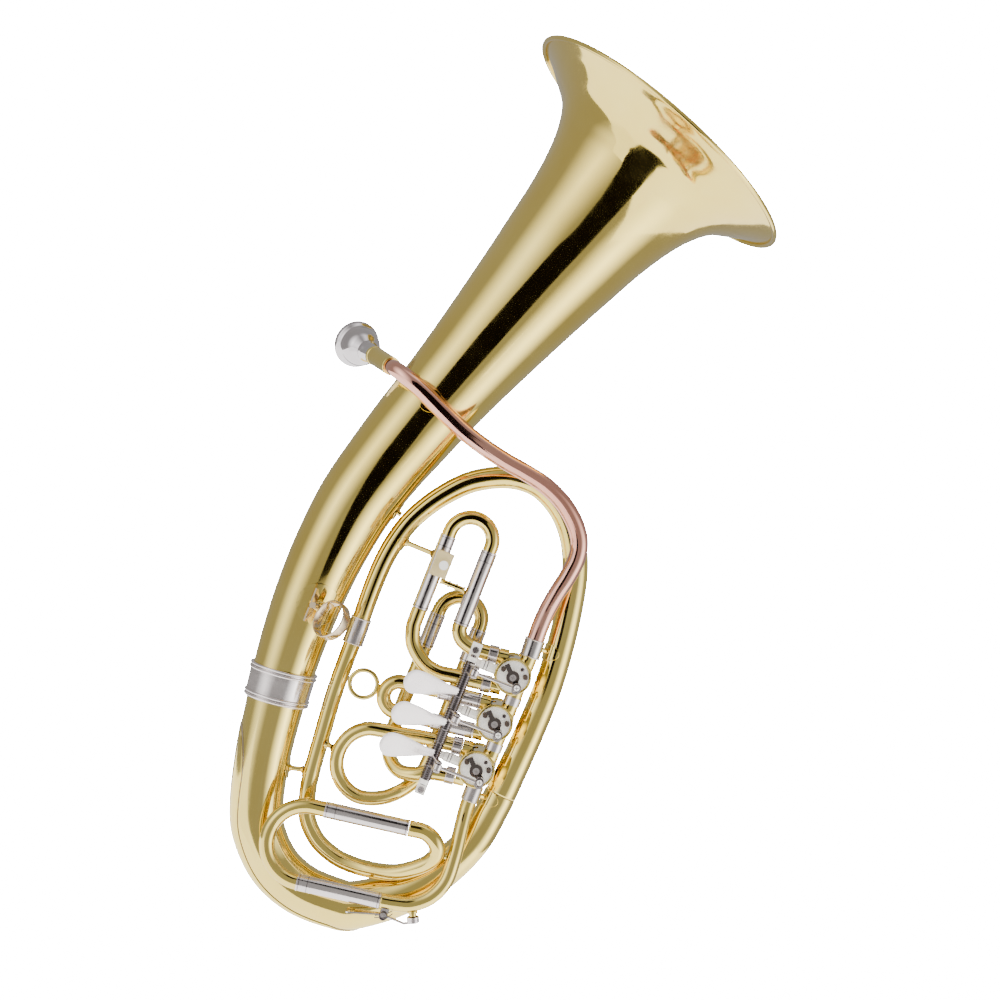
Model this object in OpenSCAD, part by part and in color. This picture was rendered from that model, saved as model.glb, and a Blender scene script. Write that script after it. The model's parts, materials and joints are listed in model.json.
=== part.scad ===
// Oval tenor horn (euphonium family) with three rotary valves.
// Right-handed frame: +Z runs up along the valve row, +X points from the bell
// tube towards the branch, +Y points away from the side that carries the levers.
// The drawing is laid out on the mid-plane of the oval and then moved so that
// the origin is the centre of the thumb ring.

/* [Bell] */
// Outer diameter of the bell rim
rim_d = 241; // [239:0.5:243]
// Diameter of the rolled rim bead
bead_d = 4; // [3:0.5:5]
// Wall of the bell and the large tubes
wall = 0.8; // [0.6:0.1:1]
// Lean of the bell away from the valve row, in degrees
bell_lean = 19.3; // [19:0.1:19.6]

/* [Valves] */
// Distance between neighbouring valves
valve_pitch = 38.5; // [38.3:0.1:39]
// Outer radius of a valve casing
casing_r = 14.5; // [14.2:0.1:14.6]
// Radius of a rotor
rotor_r = 12.4; // [12.2:0.1:12.5]
// Diameter of the two airways through a rotor
airway_d = 8.6; // [8:0.1:8.8]
// Running clearance on the radius of rotors, slides and hinges
run_gap = 0.05; // [0.02:0.01:0.1]

/* [Slides] */
// Outer diameter of the valve slide bows
bow_d = 11.6; // [11.4:0.1:11.8]
// Outer diameter of the inner slide legs
leg_d = 10.9; // [10.7:0.1:11]
// Outer diameter of the nickel outer sleeves
sleeve_d = 12.8; // [12.4:0.1:12.8]
// Downward slope of the slides and ports to the left, in degrees
port_slope = 8; // [7.5:0.1:8.5]

/* [Levers] */
// Reach of a lever paddle from its hinge
paddle_l = 50; // [48:0.5:51]
// Angle a paddle stands up at rest, in degrees
paddle_lift = 30; // [29.5:0.5:31]
// Angle a lever turns from rest to fully pressed, in degrees
lever_swing = 27; // [26:0.5:27]

/* [Thumb ring] */
// Inner diameter of the thumb ring
ring_bore = 28; // [27.5:0.1:28.5]
// Width of the thumb ring band
ring_w = 9; // [8:0.5:9]

/* [Hidden] */
$fn = 48;

brass = [0.85, 0.68, 0.33];
rose_brass = [0.80, 0.50, 0.40];
nickel = [0.78, 0.76, 0.77];
steel = [0.30, 0.28, 0.29];
cork = [0.35, 0.22, 0.14];

// Where the thumb ring's centre lies in the drawing
ring_centre = [2.5, -45, 3.5];
ring_tilt = [-0.68, -0.71, 0.21];
module placed() translate(-ring_centre) children();

// ---- Small vector helpers ----
function unit(v) = v / norm(v);
function last(v) = v[len(v) - 1];
// Angles that turn +Z onto the direction d
function aim(d) = [0, acos(d.z / norm(d)), atan2(d.y, d.x)];
module along(p, d) translate(p) rotate(aim(d)) children();

// A point t of the way between b and c on the smooth curve through a, b, c, d
function curve_at(a, b, c, d, t) =
    b + (c - a) * t / 2 + (2 * a - 5 * b + 4 * c - d) * t * t / 2
    + (3 * b - a - 3 * c + d) * t * t * t / 2;
// A route of [x, y, z, radius] points smoothed with n steps to each span
function smooth(p, n) =
    let (e = concat([2 * p[0] - p[1]], p, [2 * last(p) - p[len(p) - 2]]))
    concat(
        [for (i = [1 : len(p) - 1], k = [0 : n - 1]) curve_at(e[i - 1], e[i], e[i + 1], e[i + 2], k / n)],
        [last(p)]
    );
function place_of(q) = [q.x, q.y, q.z];
function heading(r, i) =
    unit(place_of(r[min(i + 1, len(r) - 1)]) - place_of(r[max(i - 1, 0)]));
function ring_at(r, i, rad, sides) =
    let (t = heading(r, i), u = unit(cross(t, [0, 1, 0])), v = cross(u, t))
    [for (k = [0 : sides - 1]) place_of(r[i]) + rad * (u * cos(360 * k / sides) + v * sin(360 * k / sides))];

// A hollow tube swept along a smoothed route; the route carries the outer radius
module swept_tube(points, thickness, steps, sides) {
    r = smooth(points, steps);
    m = len(r);
    rings = [for (i = [0 : m - 1]) each concat(
        ring_at(r, i, r[i][3], sides), ring_at(r, i, r[i][3] - thickness, sides))];
    function at(i, shell, k) = (2 * i + shell) * sides + k % sides;
    skin = [for (i = [0 : m - 2], k = [0 : sides - 1]) each [
        [at(i, 0, k), at(i, 0, k + 1), at(i + 1, 0, k + 1), at(i + 1, 0, k)],
        [at(i, 1, k), at(i + 1, 1, k), at(i + 1, 1, k + 1), at(i, 1, k + 1)]]];
    ends = [for (k = [0 : sides - 1]) each [
        [at(0, 0, k), at(0, 1, k), at(0, 1, k + 1), at(0, 0, k + 1)],
        [at(m - 1, 0, k), at(m - 1, 0, k + 1), at(m - 1, 1, k + 1), at(m - 1, 1, k)]]];
    polyhedron(rings, concat(skin, ends), convexity = 8);
}

// A straight tube from p along d
module tube(p, d, l, ro, ri) along(p, d) difference() {
    cylinder(r = ro, h = l);
    translate([0, 0, -1]) cylinder(r = ri, h = l + 2);
}
// A solid rod from p to q
module rod(p, q, r) along(p, q - p) cylinder(r = r, h = norm(q - p));
// A half-round bow in the XZ plane, opening towards -Z, centred on the origin
module half_bow(radius, ro, ri) rotate([90, 0, 0]) rotate_extrude(angle = 180)
    translate([radius, 0]) difference() {
        circle(r = ro);
        circle(r = ri);
    }
// A nickel ferrule around a butt joint: a sleeve with a raised bead at each end
module ferrule(p, d, l, ri, thick, bead) along(p, d) rotate_extrude() {
    translate([ri, 0]) square([thick, l]);
    for (z = [0, l]) translate([ri + thick, abs(z - bead)]) circle(r = bead, $fn = 24);
}

// ---- Bell ----
// Outer radius of the flare against the distance below the rim
flare_profile = [
    [0, 119], [3, 114], [8, 104.5], [16, 92.5], [24, 81.5], [32, 75], [40, 70.6], [48, 67], [60, 63],
    [75, 59.2], [95, 55.4], [120, 52], [142, 49], [166, 46], [190, 43.2], [213, 40.7], [237, 38.3], [265, 36.1]
];
flare_l = last(flare_profile)[0];
rim_centre = [102.2, 0, 444.4];
bell_dir = [sin(bell_lean), 0, cos(bell_lean)];
flare_end = rim_centre - flare_l * bell_dir;
stem_gap = 0.2;
stem_route = [
    concat(flare_end - stem_gap * bell_dir, 36), [3.5, 0, 162, 34.6], [-7.5, 0, 128, 32.6], [-17, 0, 92, 31],
    [-22.2, 0, 52, 29.3], [-24, 0, 14, 27.7], [-23.5, 0, -18, 26.2], [-21.6, 0, -49, 24.7], [-20, 0, -62.5, 24]
];
bow_route = [
    [-19.95, 0, -63, 23.6], [-18.4, 0, -77, 23.1], [-12.2, 0, -118, 21.6], [-3.2, 0, -155, 20.8],
    [7, 0, -177, 20.4], [28, 0, -197.5, 20.1], [54, 0, -207.5, 19.7], [82.5, 0, -208, 19.3],
    [99, 0, -203.8, 18.8], [128.6, 0, -182, 17.3], [152, 0, -153, 15.6], [167, 0, -122, 14],
    [172.9, 0, -90, 12.8], [173.8, 0, -80, 12.5]
];
bow_steps = 3;
branch_route = [
    [173.85, 0, -79.6, 12.5], [174.8, 0, -68, 12.2], [177.2, 0, -24, 11.7], [177.6, 0, 14, 11.3],
    [174.4, 0, 51, 11], [169.4, 0, 83, 10.7], [163.7, 0, 106, 10.4], [156.6, 0, 122, 10.2],
    [146.8, 0, 136, 10], [133.2, 0, 148, 9.7], [114.8, 0, 156.5, 9.4], [97, 0, 157, 9.2],
    [80.3, 0, 151.8, 9], [63, 0, 141.5, 8.8], [50.3, 0, 129, 8.6], [38, 0, 112.5, 8.3],
    [28.4, 0, 94, 8.1], [23, 0, 75, 8], [20.4, 0, 56, 7.8], [19.9, 0, 34, 7.6],
    [20.7, 0, 9, 7.3], [21, 0, -1, 7.2]
];
inner_route = [
    [21.02, 0, -1.6, 6.9], [21.2, 0, -14, 6.9], [22.2, 0, -52, 6.8], [25.3, 0, -86, 6.8],
    [28.6, 0, -118, 6.8], [31.6, 0, -135, 6.8], [38, 0, -152.5, 6.8], [49.5, 0, -165, 6.7],
    [62, 0, -171.5, 6.7], [77, -1, -174.6, 6.7], [96.6, -6, -172.5, 6.6], [117, -16, -165, 6.5],
    [131, -21, -155, 6.5], [140, -24, -145, 6.4], [142.6, -26.5, -135.5, 6.4],
    [138.2, -28.6, -128.2, 6.4], [128.5, -29, -124, 6.4], [115.62, -29, -125.67, 6.4]
];

module bell_flare() color(brass) placed() {
    points = smooth(flare_profile, 2);
    outer = [for (p = points) [p[1], -p[0]]];
    inner = [for (i = [len(points) - 1 : -1 : 0]) [points[i][1] - wall, -points[i][0]]];
    along(rim_centre, bell_dir) union() {
        rotate_extrude($fn = 144) polygon(concat(outer, inner));
        rotate_extrude($fn = 144) translate([rim_d / 2 - bead_d / 2, -bead_d / 2]) circle(d = bead_d, $fn = 24);
    }
}
module bell_stem() color(brass) placed() swept_tube(stem_route, wall, 2, 28);

ferrule_dir = unit([1.5, 0, -13.5]);
module bell_ferrule() color(nickel) placed()
    along([-21.5, 0, -49.5], ferrule_dir) rotate_extrude() {
        polygon([[24.85, 0], [26.2, 0], [25.2, 27], [23.45, 27], [23.9, 13], [24.3, 13]]);
        for (z = [1, 4, 22.6, 25.6]) translate([26.3 - z / 27, z]) circle(r = 1, $fn = 24);
    }

module bottom_bow() color(brass) placed() swept_tube(bow_route, wall, bow_steps, 20);
module outer_branch() color(brass) placed() swept_tube(branch_route, 0.7, 2, 16);
module inner_branch() color(brass) placed() swept_tube(inner_route, 0.6, 2, 14);

// ---- Bow guard: a thin plate soldered along the outer side of the bow ----
guard_half = 26;
guard_span = 4;
function guard_ring(r, i, rad) =
    let (t = heading(r, i), u = unit(cross([0, 1, 0], t)))
    [for (k = [-guard_span : guard_span]) let (a = guard_half * k / guard_span)
        place_of(r[i]) + rad * (u * cos(a) + [0, 1, 0] * sin(a))];
module guard_plate(r, gap, thick) {
    m = len(r);
    w = 2 * guard_span + 1;
    pts = [for (i = [0 : m - 1]) each concat(
        guard_ring(r, i, r[i][3] + gap), guard_ring(r, i, r[i][3] + gap + thick))];
    function at(i, shell, k) = (2 * i + shell) * w + k;
    skin = [for (i = [0 : m - 2], k = [0 : w - 2]) each [
        [at(i, 0, k), at(i + 1, 0, k), at(i + 1, 0, k + 1), at(i, 0, k + 1)],
        [at(i, 1, k), at(i, 1, k + 1), at(i + 1, 1, k + 1), at(i + 1, 1, k)]]];
    rims = [for (i = [0 : m - 2]) each [
        [at(i, 0, 0), at(i, 1, 0), at(i + 1, 1, 0), at(i + 1, 0, 0)],
        [at(i, 0, w - 1), at(i + 1, 0, w - 1), at(i + 1, 1, w - 1), at(i, 1, w - 1)]]];
    ends = [for (k = [0 : w - 2]) each [
        [at(0, 0, k), at(0, 0, k + 1), at(0, 1, k + 1), at(0, 1, k)],
        [at(m - 1, 0, k), at(m - 1, 1, k), at(m - 1, 1, k + 1), at(m - 1, 0, k + 1)]]];
    polyhedron(pts, concat(skin, rims, ends), convexity = 6);
}
module bow_guard() color(brass) placed() {
    r = smooth(bow_route, bow_steps);
    guard_plate([for (i = [2 * bow_steps : 8 * bow_steps]) r[i]], 0.2, 0.8);
}

// ---- Main tuning slide: pulls out towards the bell side ----
main_y = -29;
main_slope = 8.8;
main_dir = [-cos(main_slope), 0, -sin(main_slope)];
main_up = [-sin(main_slope), 0, cos(main_slope)];
main_mouth = [50.2, main_y, -135.8];
main_r = 29.75;
main_sleeve_l = 66;
main_leg_d = 11.3;
main_bow_lead = 9;
main_low_mouth = main_mouth - 2 * main_r * main_up + main_bow_lead * main_dir;
module main_slide_sleeves() color(nickel) placed()
    for (p = [main_mouth, main_low_mouth]) {
        tube(p, -main_dir, main_sleeve_l, 6.4, main_leg_d / 2 + run_gap);
        tube(p - 10.6 * main_dir, -main_dir, 0.8, 6.6, 6);
    }
// The main bow is drawn upright with its lower leg at +X, then laid along the slide's axis
module main_slide_bow() color(brass) placed()
    translate(main_mouth - main_r * main_up) rotate([0, -90 - main_slope, 0]) {
        ri = main_leg_d / 2 - 0.5;
        translate([0, 0, main_bow_lead]) half_bow(main_r, 6, ri);
        tube([main_r, 0, 0.3], [0, 0, 1], main_bow_lead - 0.3, 6, ri);
        tube([main_r, 0, -54], [0, 0, 1], 54.3, main_leg_d / 2, ri);
        tube([-main_r, 0, main_bow_lead - 54], [0, 0, 1], 54, main_leg_d / 2, ri);
    }

// ---- Valve cluster ----
valve_y = -12;
function valve_at(i) = [147.5, valve_y, 12.5 - (i - 1) * valve_pitch];
port_dir = [-cos(port_slope), 0, -sin(port_slope)];
port_up = [-sin(port_slope), 0, cos(port_slope)];
port_rise = 12;
port_start = 14.2;
function port_at(i, side, t) = valve_at(i) + side * port_rise * port_up + t * port_dir;
// Points on the valve's own axis: w runs from the lever side to the back
module on_valve(i, w) translate(valve_at(i) + [0, w, 0]) rotate([-90, 0, 0]) children();

outlet_route = [
    concat(main_low_mouth - (main_sleeve_l + 0.2) * main_dir, 6), [127, main_y, -183.5, 6], [139.5, -28.6, -179.3, 6],
    [151, -27.4, -169, 6], [157.2, -25.5, -154, 6], [156.6, -22.5, -134.5, 6], [153.8, -17, -113, 6],
    [152.2, -12.8, -99, 6], [152, valve_y, -88, 6], [152, valve_y, -80.8, 6]
];
module outlet_tube() color(brass) placed() swept_tube(outlet_route, 0.6, 2, 12);

lead_route = [
    [-26, -38, 200.5, 6.2], [-20.4, -47, 199.1, 6.3], [-9.5, -51.8, 195.8, 6.5], [3, -52.4, 191.4, 6.7],
    [27, -49.8, 181, 6.8], [44, -47, 174.2, 6.8], [62, -43.8, 169, 6.8], [81, -39.7, 165, 6.8],
    [98, -36, 162.7, 6.8], [116, -32, 159.2, 6.9], [131.8, -28.5, 152.8, 6.9], [143.4, -26, 145, 7],
    [152.4, -24, 136, 7], [158.2, -22.5, 126, 7], [160.4, -21, 114, 7], [159, -19.5, 99, 7],
    [156.2, -17.5, 84, 7], [154.3, -15, 69, 7], [153.8, -13, 56, 7], [154.2, valve_y, 44, 7],
    [154.7, valve_y, 30.8, 7]
];
receiver_dir = unit([-0.52, 0.84, 0.13]);
receiver_at = [-26.2, -37.6, 200.6];
receiver_l = 36;
module leadpipe() color(rose_brass) placed() swept_tube(lead_route, 0.6, 2, 14);
module leadpipe_receiver() color(brass) placed() along(receiver_at, receiver_dir) rotate_extrude()
    polygon([[5.5, 0], [7.1, 0], [7.1, 1.2], [7.4, 1.5], [7.4, receiver_l - 3], [7.7, receiver_l - 2.6],
        [7.7, receiver_l], [6.05, receiver_l], [6.05, 9], [5.5, 9]]);
module tube_ferrules() color(nickel) placed() {
    ferrule([154, valve_y, 44.5], [0.65, 0, -14], 14.5, 7.15, 0.8, 0.5);
    ferrule([20.7, 0, 9.2], [0.7, 0, -21.4], 21.4, 7.45, 0.8, 0.5);
}

// The mouthpiece's cup opens away from the receiver; it pulls off along its axis
mouth_l = 66;
module mouthpiece() color(nickel) placed() along(receiver_at + 12 * receiver_dir, receiver_dir)
    rotate_extrude($fn = 72) polygon([
        [2.4, 0], [6, 0], [6, 24.5], [5.2, 25.5], [5, 29], [5.8, 34.5], [7.5, 39], [11, 42.5], [14, 46],
        [15.3, 51], [15.6, 57], [16.6, 60], [18.4, 61.5], [18.9, 63.5], [18.4, 65.5], [16.5, 66], [14, 65.7],
        [12.9, 64], [12.2, 58], [10.5, 51], [7.5, 46], [3.2, 43], [2.4, 40]
    ]);

casing_half = 17;
plate_in = 12.3;
plate_t = 3.2;
module valve_casings() color(brass) placed() for (i = [1 : 3]) difference() {
    union() {
        on_valve(i, -casing_half) cylinder(r = casing_r, h = 2 * casing_half);
        for (s = [-1, 1]) rod(port_at(i, s, 6.5), port_at(i, s, port_start - 0.2), 6.2);
        translate(valve_at(i) + [7.2, 0, 8]) cylinder(r = 6.4, h = i == 1 ? 10 : 8);
        translate(valve_at(i) + [i < 3 ? 7.2 : 4.5, 0, -16]) cylinder(r = 6.4, h = 8);
    }
    on_valve(i, -casing_half - 1) cylinder(r = rotor_r + run_gap, h = 2 * casing_half + 2);
    for (s = [-1, 1]) rod(port_at(i, s, 2), port_at(i, s, port_start + 1), 4.9);
    translate(valve_at(i) + [7.2, 0, 6]) cylinder(r = 4.9, h = 12);
    translate(valve_at(i) + [i < 3 ? 7.2 : 4.5, 0, -18]) cylinder(r = 4.9, h = 12);
}

rotor_half = 12;
shaft_r = 3.5;
shaft_front = 24;
screw_r = 1.5;
airway_bend = rotor_r;
module airway(side) translate([side * airway_bend * sqrt(2), 0, 0])
    rotate([0, 0, side > 0 ? 90 : -90]) rotate_extrude() translate([airway_bend, 0]) circle(d = airway_d);
module rotor(i) color(brass) placed() on_valve(i, 0) {
    difference() {
        translate([0, 0, -rotor_half]) cylinder(r = rotor_r, h = 2 * rotor_half);
        airway(1);
        airway(-1);
    }
    difference() {
        translate([0, 0, 1 - shaft_front]) cylinder(r = shaft_r, h = shaft_front - 1 - rotor_half);
        translate([0, 0, -shaft_front]) cylinder(r = screw_r, h = 4);
    }
    translate([0, 0, rotor_half]) cylinder(r = shaft_r, h = 5);
}
module front_plates() color(nickel) placed() for (i = [1 : 3]) on_valve(i, -plate_in - plate_t) difference() {
    cylinder(r = rotor_r, h = plate_t);
    translate([0, 0, -1]) cylinder(r = shaft_r + run_gap, h = plate_t + 2);
    for (a = [-20, -160]) rotate(a) translate([9.6, 0, -1]) cylinder(r = 1.6, h = plate_t + 2);
}
module back_plates() color(brass) placed() for (i = [1 : 3]) on_valve(i, plate_in) difference() {
    cylinder(r = rotor_r, h = plate_t);
    translate([0, 0, -1]) cylinder(r = shaft_r + run_gap, h = plate_t + 2);
}
module back_caps() color(brass) placed() for (i = [1 : 3]) on_valve(i, casing_half + 0.05) rotate_extrude()
    polygon([[0, 1.2], [9, 1.2], [11.5, 0], [15.4, 0], [15.4, 3], [14.6, 3.8], [4, 3.8], [3.4, 5.2], [0, 5.6]]);
// Two cork-faced posts stop the finger of each stop arm
module valve_bumpers() color(cork) placed() for (i = [1 : 3], a = [-20, -160])
    on_valve(i, -22) rotate(a) translate([9.6, 0, 0]) {
        cylinder(r = 1.9, h = 6.5);
        cylinder(r = 1.6, h = 22 - plate_in - 0.2);
    }

// ---- Stop arms, links and levers ----
crank_r = 7;
crank_x = crank_r * cos(45);
arm_y = -19.2;
link_y = -46.4;
pin_r = 1.5;
module stop_arm(i) color(steel) placed() on_valve(i, 0) {
    translate([0, 0, -shaft_front]) difference() {
        union() {
            cylinder(r = 5.2, h = shaft_front + arm_y);
            rotate(45) translate([0, -2.6, 0]) cube([crank_r, 5.2, 3]);
            rotate(-135) translate([0, -1.9, 0]) cube([11.2, 3.8, 3.6]);
            translate([crank_x, crank_x, 0]) cylinder(r = 3, h = 3);
        }
        translate([0, 0, 1]) cylinder(r = shaft_r, h = 12);
        translate([0, 0, -1]) cylinder(r = screw_r, h = 3);
    }
    translate([crank_x, crank_x, -37]) cylinder(r = pin_r, h = 37 - shaft_front + 0.5);
    translate([crank_x, crank_x, -38]) cylinder(r = 2.8, h = 1);
}
module cross_screw(r, h) difference() {
    union() {
        cylinder(r = r, h = h);
        cylinder(r = screw_r, h = h + 3);
    }
    for (a = [0, 90]) rotate(a) translate([-r * 0.6, -0.3, -1]) cube([r * 1.2, 0.6, 1 + h * 0.5]);
}
module stop_arm_screw(i) color(nickel) placed()
    on_valve(i, -shaft_front - 1.2) cross_screw(2.6, 1.2);

lever_x = 113.5;
lever_y = -25.5;
arm_r = crank_x / sin(lever_swing / 2);
link_drop = 5.95;
function link_z(i) = valve_at(i).z - link_drop;
// The link's two eyes: one on the lever's upright pin, one on the stop arm's pin
module link(i) color(nickel) placed() {
    z = link_z(i);
    from = [lever_x + crank_x, link_y, z];
    to = [valve_at(i).x + crank_x, link_y, z];
    difference() {
        union() {
            rod(from + [3, 0, 0], to - [3, 0, 0], 1.3);
            translate(from - [0, 0, 2]) cylinder(r = 3.4, h = 4);
            for (s = [-1, 1]) translate(to + [0, -1.7, s * 1.05]) rotate([-90, 0, 0]) cylinder(r = 3.4, h = 3.4);
            translate(to - [3.4, 1.7, 1.05]) cube([6.8, 3.4, 2.1]);
        }
        for (s = [-1, 1]) translate(from + [0, s * 0.35, -3]) cylinder(r = pin_r + 0.3, h = 6);
        for (s = [-1, 0, 1]) translate(to + [0, -3, s * 1.05]) rotate([-90, 0, 0]) cylinder(r = pin_r + 0.3, h = 6);
    }
}

paddle_z = [-13.5, -39, -64.5];
barrel_top = [11, -28, -55.5];
barrel_low = [-18, -45.5, -76];
paddle_r = 9.3;
paddle_neck = 2.8;
paddle_slope = 4;
// Half width of a paddle at distance s from the hinge
function paddle_half(s) =
    let (c = paddle_l - paddle_r, u = s / c)
    s > c ? sqrt(max(0, paddle_r * paddle_r - (s - c) * (s - c)))
    : paddle_neck + (paddle_r - paddle_neck) * (3 * u * u - 2 * u * u * u);
paddle_steps = concat([for (k = [0 : 10]) k * 4.07], [for (a = [15 : 15 : 90]) paddle_l - paddle_r + paddle_r * sin(a)]);
module lever(i) color(nickel) placed() translate([lever_x, lever_y, 0]) {
    top = barrel_top[i - 1];
    low = barrel_low[i - 1];
    z = link_z(i);
    difference() {
        union() {
            translate([0, 0, low]) cylinder(r = 4.2, h = top - low);
            // Forked arm that carries the link
            rotate(lever_swing / 2) for (s = [-1, 1])
                translate([-2.4, -arm_r, z + s * 3.4 - 0.8]) cube([4.8, arm_r, 1.6]);
            rotate(lever_swing / 2) for (s = [-1, 1])
                translate([0, -arm_r, z + s * 3.4 - 0.8]) cylinder(r = 2.9, h = 1.6);
            // Paddle
            translate([0, -1.5, paddle_z[i - 1]]) rotate([0, 0, paddle_lift]) rotate([-90, 0, 0])
                rotate(-paddle_slope) translate([0, 0, -1.5]) linear_extrude(1.6) polygon(concat(
                    [for (s = paddle_steps) [-s, paddle_half(s)]],
                    [for (k = [len(paddle_steps) - 2 : -1 : 0]) [-paddle_steps[k], -paddle_half(paddle_steps[k])]]
                ));
        }
        translate([0, 0, low - 1]) cylinder(r = 2 + run_gap, h = top - low + 2);
    }
    rotate(lever_swing / 2) translate([0, -arm_r, z - 4.6]) cylinder(r = pin_r, h = 9.2);
}
rod_top = 17;
rod_low = -91;
module hinge_rod() color(steel) placed()
    translate([lever_x, lever_y, rod_low]) cylinder(r = 2, h = rod_top - rod_low);
rail_y = -20.6;
rail_t = 1.5;
module lever_bracket() color(nickel) placed() difference() {
    union() {
        translate([lever_x - 4, rail_y, -100]) cube([8, rail_t, 126]);
        for (z = [11.6, -90]) translate([lever_x - 4, lever_y, z]) cube([8, rail_y - lever_y + 0.5, 3.6]);
        for (z = [11.6, -90]) translate([lever_x, lever_y, z]) cylinder(r = 4, h = 3.6);
    }
    translate([lever_x, lever_y, -100]) cylinder(r = 2, h = 130);
}
module bracket_screws() color(nickel) placed() for (z = [20.5, -96])
    translate([lever_x, rail_y - 1.35, z]) rotate([-90, 0, 0]) difference() {
        cylinder(r = 2.6, h = 1.3);
        for (a = [0, 90]) rotate(a) translate([-1.6, -0.3, -1]) cube([3.2, 0.6, 1.6]);
    }
module lever_posts() color(nickel) placed() for (i = [1 : 3]) {
    c = valve_at(i) + [0, -7.6, -0.6];
    difference() {
        translate([lever_x + 4.1, c.y, c.z]) rotate([0, 90, 0]) rotate_extrude()
            polygon([[0, 0], [3.2, 0], [3.2, 3], [4, 3], [4, 6], [3.6, 6], [3.6, 6.7], [4, 6.7],
                [4, 8.4], [3.6, 8.4], [3.6, 9.1], [4, 9.1], [4, 24], [0, 24]]);
        on_valve(i, -casing_half - 2) cylinder(r = casing_r + 0.02, h = 2 * casing_half + 4);
    }
}
// Closed return springs, one beside each lever
spring_span = [[-27.6, -18.4], [-55.1, -45.9], [-86, -76.4]];
module lever_springs() color(steel) placed() for (s = spring_span)
    translate([lever_x, lever_y, s[0]]) rotate_extrude() difference() {
        translate([2.3, 0]) square([1.9, s[1] - s[0]]);
        for (z = [1.6 : 1.6 : s[1] - s[0] - 0.5]) translate([4.5, z]) circle(r = 0.5, $fn = 16);
    }
module valve_knuckles() color(nickel) placed() for (i = [1, 2]) {
    top = valve_at(i) + [7.2, 0, -16];
    low = valve_at(i + 1) + [7.2, 0, 16];
    translate(low + [0, 0, 0.05]) difference() {
        cylinder(r = 6.9, h = top.z - low.z - 0.1);
        translate([0, 0, -1]) cylinder(r = 4.9, h = 20);
    }
}
module port_ferrules() color(nickel) placed() {
    ferrule([152, valve_y, -79.3], [0, 0, -1], 12.5, 6.45, 0.6, 0.35);
    for (i = [1, 3], s = [-1, 1])
        ferrule(port_at(i, s, port_start + 0.6), port_dir, 7.4, 6.45, 0.5, 0.35);
}

// ---- First valve slide ----
slide_1_x = [61, 95.5];
slide_1_low = 34;
slide_1_top = 95;
slide_1_routes = [
    [concat(port_at(1, 1, port_start), 6.1), [121, valve_y, 20.9, 6.1], [110, valve_y, 20.4, 6.1],
        [101.5, valve_y, 22.8, 6.1], [97.2, valve_y, 27, 6.1], [95.6, valve_y, 31, 6.1],
        [95.5, valve_y, 33.7, 6.1]],
    [concat(port_at(1, -1, port_start), 6.1), [122, valve_y, -3.2, 6.1], [105, valve_y, -5.6, 6.1],
        [92, valve_y, -7.4, 6.1], [79.5, valve_y, -4.6, 6.1], [67, valve_y, 5.4, 6.1],
        [61.8, valve_y, 17.5, 6.1], [61, valve_y, 26, 6.1], [61, valve_y, 33.7, 6.1]]
];
module slide_1_tubes() color(brass) placed() for (r = slide_1_routes) swept_tube(r, 0.6, 2, 12);
module outer_sleeve(p, d, l) {
    tube(p, d, l, sleeve_d / 2, leg_d / 2 + run_gap);
    tube(p + 9 * unit(d), d, 0.8, sleeve_d / 2 + 0.25, sleeve_d / 2 - 0.2);
}
module slide_1_sleeves() color(nickel) placed() for (x = slide_1_x)
    outer_sleeve([x, valve_y, slide_1_top], [0, 0, -1], slide_1_top - slide_1_low);
// A moving bow: half-round top with two inner legs, drawn with its ends at z = 0
module slide_bow(half, lead, leg_l) {
    translate([0, 0, lead]) half_bow(half, bow_d / 2, leg_d / 2 - 0.5);
    for (x = [-half, half]) {
        tube([x, 0, 0.3], [0, 0, 1], lead - 0.3, bow_d / 2, leg_d / 2 - 0.5);
        tube([x, 0, -leg_l], [0, 0, 1], leg_l + 0.3, leg_d / 2, leg_d / 2 - 0.5);
    }
}
slide_1_half = (slide_1_x[1] - slide_1_x[0]) / 2;
module slide_1_bow() color(brass) placed()
    translate([slide_1_x[0] + slide_1_half, valve_y, slide_1_top]) slide_bow(slide_1_half, 3.5, 50);

// Lyre socket on the left sleeve, with a thumb screw
lyre_at = [66.5, valve_y - 12.4, 73];
lyre_hole = 4.4;
module lyre_box() color(brass) placed() {
    difference() {
        translate(lyre_at - [8.5, 4.5, 10]) cube([13.5, 12, 20]);
        translate(lyre_at - [lyre_hole / 2, lyre_hole / 2, 20]) cube([lyre_hole, lyre_hole, 40]);
        translate(lyre_at - [0, 10, 0]) rotate([-90, 0, 0]) cylinder(r = 1.6, h = 10);
        translate([61, valve_y, 40]) cylinder(r = sleeve_d / 2 + 0.02, h = 60);
    }
}
module lyre_screw() color(nickel) placed() translate(lyre_at) rotate([90, 0, 0]) {
    translate([0, 0, 4.9]) cylinder(r = 3.6, h = 3.4);
    translate([0, 0, 2.4]) cylinder(r = 1.55, h = 2.6);
}

// ---- Second valve slide, with its pull ring ----
slide_2_mouth = 48;
module slide_2_sleeves() color(nickel) placed() for (s = [-1, 1])
    outer_sleeve(port_at(2, s, slide_2_mouth), -port_dir, slide_2_mouth - port_start);
module slide_2_bow() color(brass) placed() {
    translate(port_at(2, 0, slide_2_mouth)) rotate([0, -90 - port_slope, 0]) slide_bow(port_rise, 29, 27);
    ring_at = port_at(2, 0.3, 106.3);
    translate(ring_at) rotate([90, 0, 0]) rotate_extrude() translate([10.8, 0]) circle(r = 1.9, $fn = 24);
}

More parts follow.
